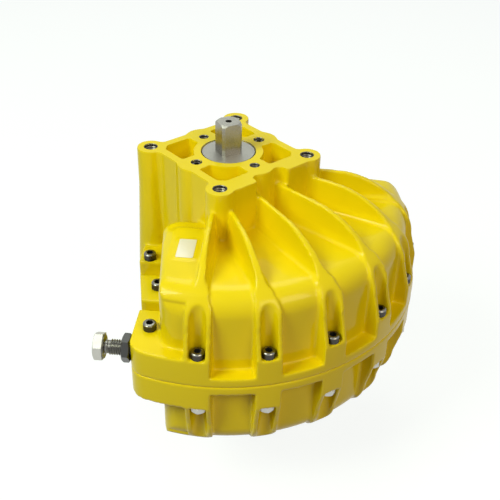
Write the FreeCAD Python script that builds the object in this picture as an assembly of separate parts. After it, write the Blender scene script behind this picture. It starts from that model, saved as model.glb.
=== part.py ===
import FreeCAD, Part

import math
import os

from FreeCAD import Vector

# Quarter-turn pneumatic vane actuator, millimetres.
# Origin: on the shaft axis in the lower mounting face. +Z runs up the shaft,
# -Y points from the shaft into the middle of the fan-shaped vane chamber.
# Each casing half is drawn with its joint face at height 0 and its mounting
# face at half_height, then lifted to the joint, and mirrored for the lower one.

# Casing, overall. A size called drop is measured down from the mounting face,
# one called inset inwards from the dome's radius.
half_height = 108.5
dome_radius = 146.5
rim_overhang = 11.5
rim_screw_overhang = 5.7
rim_screw_angle_step = 18.9
rim_screw_count = 6
flange_tab_height = 22.5
flange_ledge_height = 7.5
flange_corner_radius = 16.0
flange_inner_round = 3.0

# Mounting faces and hub column. M12 and M8 tapped holes: the upper face is at the narrow end of
# the thread's limits and the lower face at the wide end.
pad_bolt_circle = 125.0
upper_bolt_bore = 5.055
lower_bolt_bore = 5.22
pad_bolt_depth = 26.0
pad_boss_radius = 11.0
pad_boss_foot_radius = 14.5
pad_boss_core_radius = 9.5
hub_half_width = 44.5
hub_inner_round = 5.0
small_hole_circle = 32.0
upper_small_bore = 3.33
lower_small_bore = 3.45
small_hole_depth = 20.0
small_hole_wall = 15.5
front_web_inner = 15.0
front_web_outer = 36.0
front_web_reach = 53.5
front_web_round = 2.5
pocket_depth = 18.0
pocket_wall = 7.0
pocket_inner_radius = 28.0
pocket_hole_wall = 11.0
pocket_boss_wall = 13.0
pocket_round = 2.0

# Vane chamber housing
roof_drop = 39.0
roof_thickness = 6.5
dome_shoulder_radius = 18.0
dome_side_fillet = 6.0
dome_corner_radius = 14.0
dome_back = 44.0
dome_side_near = 45.5
dome_side_near_at = 50.0
dome_side_far = 34.0
dome_side_far_inset = 4.5
wall = 5.5
chamber_edge_radius = 11.0
chamber_side_gap = 1.5
chamber_side_reach = 60.0

# Raised bay at each end of the fan, and the pad that the label plate lies on
bay_side = 34.0
bay_back = 62.0
bay_slope = 7.0
bay_rise = 3.0
bay_corner_radius = 5.0
label_out = 21.5
label_along = 91.4
label_length = 27.0
label_width = 16.0
label_rise = 0.8

# Fins and the blocks round each rim screw: pairs of inset and drop, or of height over the roof
# and half thickness
fin_start_drop = 12.0
fin_bend = (54.5, 15.3)
fin_crown = (32.5, 21.9)
fin_shoulder = (12.5, 35.5)
block_top = (7.0, 40.2)
block_crown = (-1.0, 49.0)
block_foot = (-6.0, 65.5)
fin_crest_half = 1.8
fin_foot = ((-1.0, 7.0), (1.4, 4.4), (6.0, 3.0))
fin_roots = ((12.0, 47.0), (41.0, 52.0), (53.5, 47.0))
flare_inset = 13.0
block_half_width = 9.6
niche_half_width = 6.0
niche_arch_drop = 51.5
niche_reach = 7.5

# Casing screws, nuts and their places beside the dome
screw_radius = 3.0
screw_hole = 3.3
screw_head_radius = 5.0
screw_head_height = 6.0
screw_head_chamfer = 0.5
screw_end_chamfer = 0.7
screw_socket = 5.0
screw_socket_depth = 3.0
nut_flats = 10.0
nut_height = 5.0
nut_chamfer = 0.6
nut_clearance = 0.03
rim_nut_turn = 30.0
side_nut_turn = 45.0
screw_end = 2.0
hub_side_screw = (61.0, 32.8)
mid_side_screw = (47.6, 72.8)
stop_side_screw_out = 44.8
stop_side_screw_inset = 22.6
side_niche_height = 14.0
rear_screw_x = 21.0
rear_screw_out = 9.5
rear_flange_out = 16.0
rear_flange_half_width = 32.0
side_flange_hub = 69.5
side_flange_hub_end = 36.0
side_flange_waist = 57.2
side_flange_waist_from = 93.0
hub_tab_end = 38.5
mid_tab_from = 56.5
mid_tab_to = 90.5
corner_tab_inset = 44.8

# Shaft, bushes and shaft seals
journal_radius = 21.0
running_clearance = 0.05
press_clearance = 0.02
journal_recess = 0.5
square_flats = 17.0
square_height = 25.4
square_corner_chamfer = 2.0
square_end_chamfer = 1.0
square_tap_radius = 2.5
square_tap_depth = 15.0
bush_wall = 3.5
bush_drop = 17.5
bush_flange_radius = 28.0
bush_flange_thickness = 2.5
shaft_opening_radius = 21.6
ring_section = 3.4
ring_gap = 0.1
ring_drop = 11.5

# Vane and its seals
rest_angle = -15.0
travel_half_angle = 45.0
rotor_hub_radius = 29.0
rotor_gap = 0.3
rim_half_thickness = 5.0
rim_inset = 1.0
seal_thickness = 4.0
seal_width = 21.5
seal_lip_thickness = 2.1
seal_lip_height = 3.5
expander_thickness = 1.0
plate_thickness = 2.5
part_gap = 0.1
plate_start = 30.0
rivet_radius = 3.0
rivet_head_radius = 5.0
rivet_head_height = 1.4
rivet_inner = 58.0
rivet_outer_inset = 34.5
rivet_below_roof = 37.0
key_width = 10.0
key_height = 7.0
key_below_roof = 23.0

# Travel stops
stop_radius = 6.0
stop_inset = 12.0
stop_level = 12.0
stop_tip_radius = 2.5
stop_tip_length = 6.0
stop_exposed = 13.3
stop_head_height = 7.5
stop_flats = 19.0
stop_washer_radius = 9.0
stop_washer_height = 0.8
stop_chamfer = 1.0
locknut_height = 6.0
thread_clearance = 0.03

# Joint seal, air ports and blanking screws
cord_width = 3.0
cord_depth = 1.5
cord_offset = 2.5
port_x = 37.0
port_level = 46.0
port_face_out = 12.5
port_boss_radius = 11.0
port_bore = 5.9
port_depth = 14.0
gallery_radius = 4.0
gallery_reach = 24.0
blank_radius = 4.0
blank_length = 10.0
blank_sink = 1.5
blank_socket = 4.0
blank_socket_depth = 4.5
blank_socket_turn = 30.0

# Worked out from the sizes above
up = Vector(0, 0, 1)
half = math.sqrt(0.5)
boss_xy = pad_bolt_circle / 2 * half
rim_radius = dome_radius + rim_overhang
rim_screw_circle = dome_radius + rim_screw_overhang
dome_height = half_height - roof_drop
chamber_radius = dome_radius - wall
chamber_height = dome_height - roof_thickness
fin_start_height = half_height - fin_start_drop
rear_screw_y = hub_half_width + rear_screw_out
rear_flange_y = hub_half_width + rear_flange_out
port_face_y = hub_half_width + port_face_out
pocket_reach = hub_half_width - pocket_wall
niche_arch_height = half_height - niche_arch_drop
plate_face = rim_half_thickness + seal_thickness + plate_thickness
rim_angles = [(k - (rim_screw_count - 1) / 2) * rim_screw_angle_step for k in range(rim_screw_count)]
side_screws = (hub_side_screw, mid_side_screw, (stop_side_screw_out, dome_radius - stop_side_screw_inset))
stop_along = dome_radius - stop_inset
rivet_outer = dome_radius - rivet_outer_inset
rivet_places = (rivet_inner, (rivet_inner + rivet_outer) / 2, rivet_outer)
rivet_level = chamber_height - rivet_below_roof
key_half_length = chamber_height - key_below_roof
ring_level = half_height - ring_drop
bush_top = half_height - bush_drop


# Places and small shapes

def at_side(out, along, height=0.0):
    """Point beside the left end position of the vane: square to it, then along it."""
    return Vector(-half * (out + along), half * (out - along), height)


def at_fan(radius, angle, aside=0.0, height=0.0):
    """Point at an angle from the middle of the fan, moved sideways by aside."""
    turn = math.radians(angle)
    reach = Vector(math.sin(turn), -math.cos(turn), 0) * radius
    return reach + Vector(math.cos(turn), math.sin(turn), 0) * aside + up * height


def mirror_x(shape):
    return shape.mirror(Vector(), Vector(1, 0, 0))


def both_sides(shapes):
    return shapes + [mirror_x(shape) for shape in shapes]


def polygon(points):
    return Part.Face(Part.makePolygon(points + points[:1]))


def disc(place, radius):
    return Part.Face(Part.Wire(Part.makeCircle(radius, Vector(place.x, place.y, 0))))


def box_face(x0, x1, y0, y1):
    return polygon([Vector(x0, y0), Vector(x1, y0), Vector(x1, y1), Vector(x0, y1)])


def join(shapes):
    return shapes[0].fuse(shapes[1:]).removeSplitter()


def join_faces(faces):
    return join(faces).Faces[0]


def round_outward(face, radius):
    return face.makeOffset2D(-radius).makeOffset2D(radius).Faces[0]


def round_inward(face, radius):
    return face.makeOffset2D(radius).makeOffset2D(-radius).Faces[0]


def prism(face, bottom, top):
    return face.translated(up * bottom).extrude(up * (top - bottom))


def rod(radius, start, end):
    step = end - start
    return Part.makeCylinder(radius, step.Length, start, step)


def cone(radius0, radius1, start, end):
    step = end - start
    return Part.makeCone(radius0, radius1, step.Length, start, step)


def post(radius, place, bottom, top):
    return Part.makeCylinder(radius, top - bottom, Vector(place.x, place.y, bottom))


def hexagon(flats, start, end, turn=0.0):
    """Hexagonal bar; lying down it has a corner on top, upright a corner along X."""
    step = end - start
    corner = flats / math.sqrt(3)
    turns = [math.radians(60 * k + turn) for k in range(6)]
    face = polygon([Vector(corner * math.cos(t), corner * math.sin(t), 0) for t in turns])
    if math.hypot(step.x, step.y) > abs(step.z):
        face = face.rotated(Vector(), Vector(0, 1, 0), -90)
        face = face.rotated(Vector(), up, math.degrees(math.atan2(step.y, step.x)))
    return face.translated(start).extrude(step)


def drum(radius, height, edge_radius):
    """Round block standing on the joint face, its upper edge rounded."""
    block = post(radius, Vector(), 0, height)
    return block.makeFillet(edge_radius, [edge_at(block, height)])


def edge_at(shape, level):
    flat = [e for e in shape.Edges if abs(e.BoundBox.ZMin - level) < 1e-4 and e.BoundBox.ZLength < 1e-4]
    return flat[0]


def ring_seal(centre_radius, section_radius, level):
    """Ring of eight-sided section, which is as round as a seal in its groove needs to be."""
    turns = [math.radians(45 * k + 22.5) for k in range(8)]
    section = polygon([Vector(centre_radius + section_radius * math.cos(t), 0,
                              level + section_radius * math.sin(t)) for t in turns])
    return section.revolve(Vector(), up, 360)


# Outlines seen from above

def hub_outline():
    faces = [box_face(-hub_half_width, hub_half_width, -hub_half_width, hub_half_width)]
    for x, y in ((1, 1), (1, -1), (-1, 1), (-1, -1)):
        faces.append(disc(Vector(x * boss_xy, y * boss_xy), pad_boss_radius))
    for place in small_hole_places():
        faces.append(disc(place, small_hole_wall))
    for x0, x1 in ((-front_web_outer, -front_web_inner), (front_web_inner, front_web_outer)):
        faces.append(round_outward(box_face(x0, x1, -front_web_reach, 0), front_web_round))
    return round_inward(join_faces(faces), hub_inner_round)


def small_hole_places():
    """Four holes round the shaft: two open ones, then the two that are blanked."""
    reach = small_hole_circle
    return [Vector(0, -reach), Vector(0, reach), Vector(-reach, 0), Vector(reach, 0)]


def lower_hole_places():
    """The lower face has them a quarter turn on."""
    return small_hole_places()[2:] + small_hole_places()[:2]


def pad_bolt_places():
    return [Vector(x * boss_xy, y * boss_xy) for x in (-1, 1) for y in (-1, 1)]


def flange_outline():
    beyond = rim_radius * 2
    left = [at_side(side_flange_hub, 0),
            at_side(side_flange_hub, side_flange_hub_end),
            at_side(side_flange_waist, side_flange_waist_from),
            at_side(side_flange_waist, beyond)]
    right = [Vector(-p.x, p.y) for p in reversed(left)]
    fan = polygon(left + right).common(disc(Vector(), rim_radius)).Faces[0]
    fan = round_outward(fan, flange_corner_radius)
    rear = box_face(-rear_flange_half_width, rear_flange_half_width, 0, rear_flange_y)
    rear = round_outward(rear, screw_head_radius)
    return round_inward(join_faces([fan, rear, hub_outline()]), flange_inner_round)


def tab_regions():
    """Parts of the flange that stand at full height; ledges lie between them."""
    beyond = rim_radius
    hub = polygon([at_side(0, hub_tab_end), at_side(beyond, hub_tab_end),
                   at_side(beyond, -beyond), at_side(0, -beyond)])
    middle = polygon([at_side(0, mid_tab_from), at_side(beyond, mid_tab_from),
                      at_side(beyond, mid_tab_to), at_side(0, mid_tab_to)])
    first = rim_angles[0]
    corner_from = dome_radius - corner_tab_inset
    corner = polygon([at_side(screw_head_radius, corner_from),
                      at_side(beyond, corner_from),
                      at_side(beyond, beyond),
                      at_fan(beyond * 1.2, first, block_half_width),
                      at_fan(dome_radius * 0.8, first, block_half_width)])
    regions = both_sides([hub, middle, corner])
    for angle in rim_angles[1:-1]:
        regions.append(polygon([at_fan(dome_radius * 0.9, angle, -block_half_width),
                                at_fan(beyond * 1.2, angle, -block_half_width),
                                at_fan(beyond * 1.2, angle, block_half_width),
                                at_fan(dome_radius * 0.9, angle, block_half_width)]))
    return regions


def side_line(along):
    far_at = dome_radius - dome_side_far_inset
    run = (along - dome_side_near_at) / (far_at - dome_side_near_at)
    return at_side(dome_side_near + run * (dome_side_far - dome_side_near), along)


def dome_outline():
    left = [at_side(0, dome_back), side_line(dome_back), side_line(dome_radius * 2)]
    right = [Vector(-p.x, p.y) for p in reversed(left)]
    fan = polygon(left + right).common(disc(Vector(), dome_radius)).Faces[0]
    return round_outward(fan, dome_corner_radius)


def chamber_outline():
    """Inside of the housing: the fan, the room for the vane's ends and its hub."""
    fan = dome_outline().makeOffset2D(-wall).Faces[0]
    gap = plate_face + chamber_side_gap
    reach = chamber_side_reach
    left = [at_side(gap, gap), at_side(gap, reach), at_side(0, reach)]
    wedge = polygon([Vector()] + left + [Vector(-p.x, p.y) for p in reversed(left)])
    hub = disc(Vector(), rotor_hub_radius + rotor_gap)
    return join_faces([fan, wedge, hub])


def cord_outline(inner, outer):
    inside = chamber_outline()
    ring = inside.makeOffset2D(outer).Faces[0].cut(inside.makeOffset2D(inner).Faces[0])
    return ring.Faces[0]


def pocket_outlines():
    reach = pocket_reach
    area = box_face(-reach, reach, -reach, reach)
    walls = [disc(Vector(), pocket_inner_radius)]
    walls += [disc(place, pocket_hole_wall) for place in small_hole_places()]
    walls += [disc(place, pocket_boss_wall) for place in pad_bolt_places()]
    walls.append(box_face(-pocket_round, pocket_round, -reach, reach))
    walls.append(box_face(-reach, reach, -pocket_round, pocket_round))
    return [round_outward(face, pocket_round) for face in area.cut(walls).Faces]


# Casing half

def fin_envelope():
    """Turned shape whose height at each radius is the crest of fins and blocks."""
    inner = hub_half_width / 2
    crest = (fin_bend, fin_crown, fin_shoulder, block_top, block_crown, block_foot)
    line = Part.LineSegment
    arc = Part.Arc
    start = [Vector(inner, 0, 0), Vector(inner, 0, fin_start_height)]
    bend, crown, shoulder, top, over, foot = [
        Vector(dome_radius - inset, 0, half_height - drop) for inset, drop in crest]
    end = [Vector(rim_radius, 0, flange_tab_height), Vector(rim_radius, 0, 0)]
    edges = [line(start[0], start[1]), line(start[1], bend), arc(bend, crown, shoulder),
             line(shoulder, top), arc(top, over, foot), line(foot, end[0]),
             line(end[0], end[1]), line(end[1], start[0])]
    face = Part.Face(Part.Wire([edge.toShape() for edge in edges]))
    return face.revolve(Vector(), up, 360)


def fin_and_block(root, angle, envelope):
    start = Vector(-root[0], -root[1])
    end = at_fan(rim_screw_circle, angle)
    run = (end - start).normalize()
    aside = Vector(-run.y, run.x)
    foot = start - run * front_web_round * 2
    profile = [(flange_tab_height, fin_foot[0][1])]
    profile += [(dome_height + rise, half_thickness) for rise, half_thickness in fin_foot]
    profile.append((fin_start_height, fin_crest_half))
    left = [foot - aside * thick + up * height for height, thick in profile]
    right = [foot + aside * thick + up * height for height, thick in reversed(profile)]
    fin = polygon(left + right).extrude(end - foot)
    apex = start + run * (dome_radius - flare_inset - start.Length)
    flare = polygon([apex - aside * fin_crest_half, apex + aside * fin_crest_half,
                     at_fan(dome_radius, angle, block_half_width),
                     at_fan(rim_radius + 1, angle, block_half_width),
                     at_fan(rim_radius + 1, angle, -block_half_width),
                     at_fan(dome_radius, angle, -block_half_width)])
    return [fin.common(envelope), prism(flare, 0, fin_start_height).common(envelope)]


def fins():
    envelope = fin_envelope()
    shapes = []
    for root, angle in zip(fin_roots, reversed(rim_angles[:rim_screw_count // 2])):
        shapes += fin_and_block(root, angle, envelope)
    return both_sides(shapes)


def screw_niche(angle):
    """Arched room above a rim screw, open to the outside of the rim."""
    centre = rim_screw_circle - niche_reach + niche_half_width
    beyond = rim_radius * 1.1
    plan = join_faces([disc(at_fan(centre, angle), niche_half_width),
                       polygon([at_fan(centre, angle, -niche_half_width),
                                at_fan(beyond, angle, -niche_half_width),
                                at_fan(beyond, angle, niche_half_width),
                                at_fan(centre, angle, niche_half_width)])])
    straight = prism(plan, flange_tab_height, niche_arch_height)
    arch = rod(niche_half_width, at_fan(dome_radius * 0.9, angle, 0, niche_arch_height),
               at_fan(beyond, angle, 0, niche_arch_height))
    above = prism(plan, niche_arch_height, dome_height)
    return join([straight, arch.common(above)])


def dome(height):
    shape = prism(dome_outline(), 0, height)
    side = []
    for edge in shape.Edges:
        if edge.BoundBox.ZMin > height - 0.01:
            middle = edge.valueAt((edge.FirstParameter + edge.LastParameter) / 2)
            if math.hypot(middle.x, middle.y) < dome_radius - 1:
                side.append(edge)
    shape = shape.makeFillet(dome_side_fillet, side)
    return shape.common(drum(dome_radius, height, dome_shoulder_radius))


def raised_bay():
    """Flat raised field of the end bay, with sloping sides, running out over the shoulder."""
    top = dome_height + bay_rise
    low = bay_outline(bay_side + bay_slope, bay_back - bay_slope, bay_corner_radius + bay_slope)
    high = bay_outline(bay_side, bay_back, bay_corner_radius)
    low = low.translated(up * (dome_height - part_gap))
    slope = Part.makeLoft([low.OuterWire, high.translated(up * top).OuterWire], True, True)
    below = prism(bay_outline(bay_side, bay_back, bay_corner_radius), chamber_height, dome_height)
    return join([slope, below]).common(dome(top))


def bay_outline(side, back, corner):
    beyond = dome_radius
    face = polygon([at_side(0, back), at_side(side, back), at_side(side, beyond), at_side(0, beyond)])
    return round_outward(face, corner)


def label_pad():
    face = box_face(-label_width / 2, label_width / 2, -label_length / 2, label_length / 2)
    face = round_outward(face, front_web_round)
    face = face.rotated(Vector(), up, -45).translated(at_side(label_out, label_along))
    return prism(face, chamber_height, dome_height + bay_rise + label_rise)


def chamber():
    room = prism(chamber_outline(), 0, chamber_height)
    return room.common(drum(chamber_radius, chamber_height, chamber_edge_radius))


def shaft_bore():
    origin = Vector()
    groove = ring_section / 2 + ring_gap
    groove_radius = journal_radius + ring_section + 2 * ring_gap
    return join([
        post(journal_radius + bush_wall + press_clearance, origin, 0, bush_top),
        post(shaft_opening_radius, origin, 0, half_height + 1),
        post(groove_radius, origin, ring_level - groove, ring_level + groove)])


def pad_holes(bolt_bore, small_bore, small_places):
    cuts = []
    top = half_height
    for place in pad_bolt_places():
        cuts += drilled(place, bolt_bore, pad_bolt_depth)
    for place in small_places[:2]:
        cuts += drilled(place, small_bore, small_hole_depth)
    for place in small_places[2:]:
        cuts.append(post(blank_radius + thread_clearance, place, top - small_hole_depth, top + 1))
    cuts += [prism(face, top - pocket_depth, top + 1) for face in pocket_outlines()]
    return cuts


def drilled(place, radius, depth):
    tip = radius / math.sqrt(3)
    foot = Vector(place.x, place.y, half_height - depth)
    return [post(radius, place, half_height - depth, half_height + 1),
            cone(radius, 0.0, foot, foot - up * tip)]


def screw_holes():
    low = -1
    high = flange_tab_height
    cuts = [post(screw_hole, at_fan(rim_screw_circle, a), low, high + 1) for a in rim_angles]
    cuts += [screw_niche(a) for a in rim_angles]
    sides = [post(screw_hole, at_side(*place), low, high + 1) for place in side_screws]
    middle = at_side(*mid_side_screw)
    sides.append(post(niche_half_width, middle, high, high + side_niche_height))
    sides.append(post(screw_hole, Vector(-rear_screw_x, rear_screw_y), low, high + 1))
    return cuts + both_sides(sides)


def half_casing():
    """One half, joint face at height 0, common to the upper and lower castings."""
    outline = flange_outline()
    shapes = [prism(outline, 0, flange_ledge_height), prism(hub_outline(), 0, half_height)]
    shapes.append(dome(dome_height))
    for place in pad_bolt_places():
        shapes.append(cone(pad_boss_foot_radius, pad_boss_core_radius, place, place + up * half_height))
    for region in tab_regions():
        for face in outline.common(region).Faces:
            shapes.append(prism(face, 0, flange_tab_height))
    body = join([join(shapes)] + fins())
    return join([body] + both_sides([raised_bay()]))


def hollowed(body, holes, more=()):
    cuts = [chamber(), shaft_bore(),
            prism(cord_outline(cord_offset, cord_offset + cord_width), -1, cord_depth)]
    return body.cut(cuts + holes + screw_holes() + list(more)).removeSplitter()


def stop_bore():
    return rod(stop_radius + thread_clearance, at_side(plate_face + stop_tip_length, stop_along, stop_level),
               at_side(side_flange_hub, stop_along, stop_level))


def port_cuts():
    face = Vector(-port_x, port_face_y, port_level)
    foot = face - Vector(0, port_depth, 0)
    chamber_end = Vector(-port_x, -gallery_reach, port_level)
    return [rod(port_bore, foot, face + Vector(0, 1, 0)), rod(gallery_radius, chamber_end, foot)]


def port_boss():
    face = Vector(-port_x, port_face_y, port_level)
    return rod(port_boss_radius, Vector(-port_x, hub_half_width, port_level), face)


def lifted(shape):
    return shape.translated(up * half_height)


def lowered(shape):
    return lifted(shape.mirror(Vector(), up))


def single_solid(shape):
    return max(shape.Solids, key=lambda solid: solid.Volume)


def upper_casing():
    body = join([half_casing(), label_pad()] + both_sides([port_boss()]))
    more = both_sides([stop_bore()] + port_cuts())
    holes = pad_holes(upper_bolt_bore, upper_small_bore, small_hole_places())
    return lifted(single_solid(hollowed(body, holes, more)))


def lower_casing():
    holes = pad_holes(lower_bolt_bore, lower_small_bore, lower_hole_places())
    return lowered(single_solid(hollowed(half_casing(), holes)))


def casing_seal():
    inner = cord_offset + part_gap
    face = cord_outline(inner, inner + cord_width - 2 * part_gap)
    return lifted(prism(face, part_gap - cord_depth, cord_depth - part_gap))


# Bushes, shaft seals and blanking screws

def bush():
    origin = Vector()
    level = chamber_height
    body = join([post(journal_radius + bush_wall, origin, level, bush_top),
                 post(bush_flange_radius, origin, level - bush_flange_thickness, level)])
    return body.cut(post(journal_radius + running_clearance, origin, 0, half_height))


def shaft_ring():
    section = ring_section / 2
    return ring_seal(journal_radius + ring_gap + section, section, ring_level)


def blank_screws(places):
    top = half_height - blank_sink
    shapes = []
    for place in places:
        start = Vector(place.x, place.y, top - blank_socket_depth)
        body = post(blank_radius, place, top - blank_length, top)
        shapes.append(body.cut(hexagon(blank_socket, start, start + up * blank_length,
                                       blank_socket_turn)))
    return shapes


# Casing screws and nuts

def screw_at(place):
    top = flange_tab_height
    head = post(screw_head_radius, place, top, top + screw_head_height)
    head = head.makeChamfer(screw_head_chamfer, [edge_at(head, top + screw_head_height)])
    foot = -flange_tab_height - nut_height - screw_end
    shank = post(screw_radius, place, foot, top)
    shank = shank.makeChamfer(screw_end_chamfer, [edge_at(shank, foot)])
    start = Vector(place.x, place.y, top + screw_head_height - screw_socket_depth)
    return join([head, shank]).cut(hexagon(screw_socket, start, start + up * screw_head_height))


def nut_at(place, turn):
    top = -flange_tab_height
    start = Vector(place.x, place.y, top)
    body = hexagon(nut_flats, start, start - up * nut_height, turn)
    crown = nut_flats / math.sqrt(3)
    dome_top = cone(crown + nut_height, crown - nut_chamfer, start, start - up * nut_height)
    hole = post(screw_radius + nut_clearance, place, top - nut_height - 1, top + 1)
    return body.common(dome_top).cut(hole)


def rim_screws():
    return [screw_at(at_fan(rim_screw_circle, angle)) for angle in rim_angles]


def rim_nuts():
    return [nut_at(at_fan(rim_screw_circle, angle), angle + rim_nut_turn) for angle in rim_angles]


def side_screw_set():
    return both_sides([screw_at(at_side(*place)) for place in side_screws])


def side_nuts():
    return both_sides([nut_at(at_side(*place), side_nut_turn) for place in side_screws])


def rear_screws():
    return both_sides([screw_at(Vector(-rear_screw_x, rear_screw_y))])


def rear_nuts():
    return both_sides([nut_at(Vector(-rear_screw_x, rear_screw_y), 0)])


# Travel stops

def stop_screw():
    seat = side_flange_waist
    tip = plate_face + part_gap
    level = stop_level
    under_head = seat + locknut_height + stop_exposed
    top = under_head + stop_head_height

    def place(out):
        return at_side(out, stop_along, level)

    washer = under_head + stop_washer_height
    head = hexagon(stop_flats, place(washer), place(top))
    corner = stop_flats / math.sqrt(3)
    head = head.common(cone(corner + stop_head_height, corner - stop_chamfer, place(under_head), place(top)))
    return join([head, rod(stop_washer_radius, place(under_head), place(washer)),
                 rod(stop_radius, place(tip + stop_tip_length), place(under_head)),
                 rod(stop_tip_radius, place(tip), place(tip + stop_tip_length))])


def locknut():
    seat = side_flange_waist
    start = at_side(seat, stop_along, stop_level)
    end = at_side(seat + locknut_height, stop_along, stop_level)
    corner = stop_flats / math.sqrt(3)
    body = hexagon(stop_flats, start, end)
    body = body.common(cone(corner + locknut_height, corner - stop_chamfer, start, end))
    body = body.common(cone(corner - stop_chamfer, corner + locknut_height, start, end))
    return body.cut(rod(stop_radius + thread_clearance, at_side(0, stop_along, stop_level), end * 2 - start))


# Rotor, drawn with the vane in the middle of the fan, joint plane at height 0

def vane_outline(inset, start):
    """Radius and height outline of a vane layer, inset from the chamber wall."""
    reach = chamber_radius - inset
    top = chamber_height - inset
    corner = max(chamber_edge_radius - inset, rim_inset)
    bend = corner * (1 - half)
    segments = []
    lower = [Vector(start, -top), Vector(reach - corner, -top)]
    upper = [Vector(reach - corner, top), Vector(start, top)]
    segments.append(Part.LineSegment(*lower))
    segments.append(Part.Arc(lower[1], Vector(reach - bend, bend - top), Vector(reach, corner - top)))
    segments.append(Part.LineSegment(Vector(reach, corner - top), Vector(reach, top - corner)))
    segments.append(Part.Arc(Vector(reach, top - corner), Vector(reach - bend, top - bend), upper[0]))
    segments.append(Part.LineSegment(*upper))
    segments.append(Part.LineSegment(upper[1], lower[0]))
    return Part.Face(Part.Wire([segment.toShape() for segment in segments]))


def upright(face):
    return face.rotated(Vector(), Vector(1, 0, 0), 90)


def layer(face, inner, outer):
    """Stand a radius and height outline upright and thicken it across the vane."""
    face = upright(face).rotated(Vector(), up, -90)
    return face.translated(Vector(inner, 0, 0)).extrude(Vector(outer - inner, 0, 0))


def vane_holes(radius):
    reach = plate_face + rivet_head_height
    return [rod(radius, Vector(-reach, -r, w), Vector(reach, -r, w))
            for r in rivet_places for w in (-rivet_level, rivet_level)]


def vane():
    origin = Vector()
    hub_end = chamber_height - bush_flange_thickness - part_gap
    panel_face = rim_half_thickness + seal_thickness
    start = journal_radius + 2
    rim = layer(vane_outline(rim_inset, start), -rim_half_thickness, rim_half_thickness)
    panel = vane_outline(seal_width + rotor_gap + part_gap, start)
    panel = layer(panel, -panel_face, panel_face)
    clear = bush_flange_radius + rotor_gap
    ends = [post(clear, origin, hub_end, chamber_height),
            post(clear, origin, -chamber_height, -hub_end)]
    body = join([rim.cut(ends), panel, post(rotor_hub_radius, origin, -hub_end, hub_end)])
    cuts = [post(journal_radius + press_clearance, origin, -hub_end - 1, hub_end + 1), key(press_clearance)]
    return body.cut(cuts + vane_holes(rivet_radius + press_clearance))


def key(grow=0.0):
    deep = journal_radius - key_height / 2
    return Part.makeBox(key_width + 2 * grow, key_height + 2 * grow, 2 * (key_half_length + grow),
                        Vector(-key_width / 2 - grow, deep - grow, -key_half_length - grow))


def square_end():
    flats = square_flats
    side = flats / 2
    cut = square_corner_chamfer
    points = []
    for x, y in ((1, -1), (1, 1), (-1, 1), (-1, -1)):
        corner = [Vector(x * side, y * (side - cut)), Vector(x * (side - cut), y * side)]
        points += corner if x * y > 0 else reversed(corner)
    start = half_height - journal_recess
    top = half_height + square_height
    bar = prism(polygon(order_round(points)), start, top)
    reach = flats * half
    slope = cone(reach + square_height, reach - cut - square_end_chamfer, Vector(0, 0, start), Vector(0, 0, top))
    tap = post(square_tap_radius, Vector(), top - square_tap_depth, top + 1)
    return bar.common(slope), tap


def order_round(points):
    return sorted(points, key=lambda p: math.atan2(p.y, p.x))


def shaft():
    bar, tap = square_end()
    end = half_height - journal_recess
    journal = post(journal_radius, Vector(), -end, end)
    flip = bar.mirror(Vector(), up)
    body = join([journal, bar, flip])
    return body.cut([tap, tap.mirror(Vector(), up), key(press_clearance)])


def lip_seal():
    base = vane_outline(rotor_gap, plate_start)
    window = vane_outline(rotor_gap + seal_width, plate_start - 1)
    inner = rim_half_thickness
    outer = inner + seal_thickness
    body = layer(base, inner, outer).cut(layer(window, inner - 1, outer + 1))
    lip = layer(base, outer, outer + seal_lip_height)
    inside = vane_outline(rotor_gap + seal_lip_thickness, plate_start - 1)
    lip = lip.cut(layer(inside, outer - 1, outer + seal_lip_height + 1))
    sweep = upright(vane_outline(rotor_gap, 0)).revolve(Vector(), up, 360)
    return join([body, lip]).common(sweep)


def expander():
    inset = rotor_gap + seal_lip_thickness + part_gap
    inner = rim_half_thickness + seal_thickness
    outside = layer(vane_outline(inset, plate_start), inner, plate_face)
    inside = vane_outline(inset + expander_thickness, plate_start - 1)
    return outside.cut(layer(inside, inner - 1, plate_face + 1))


def side_plate():
    inset = rotor_gap + seal_lip_thickness + expander_thickness + 2 * part_gap
    inner = rim_half_thickness + seal_thickness
    body = layer(vane_outline(inset, plate_start), inner, plate_face)
    return body.cut(vane_holes(rivet_radius + press_clearance))


def vane_rivets():
    shapes = []
    reach = plate_face
    for r in rivet_places:
        for w in (-rivet_level, rivet_level):
            parts = [rod(rivet_radius, Vector(-reach, -r, w), Vector(reach, -r, w))]
            for way in (-1, 1):
                start = Vector(way * reach, -r, w)
                end = start + Vector(way * rivet_head_height, 0, 0)
                parts.append(rod(rivet_head_radius, start, end))
            shapes.append(join(parts))
    return shapes


def at_rest(shape):
    return lifted(shape.rotated(Vector(), up, rest_angle))


# Write one file for each piece

def save(name, shapes):
    shape = shapes[0] if len(shapes) == 1 else Part.makeCompound(shapes)
    shape.exportStep("parts/" + name + ".step")


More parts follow.
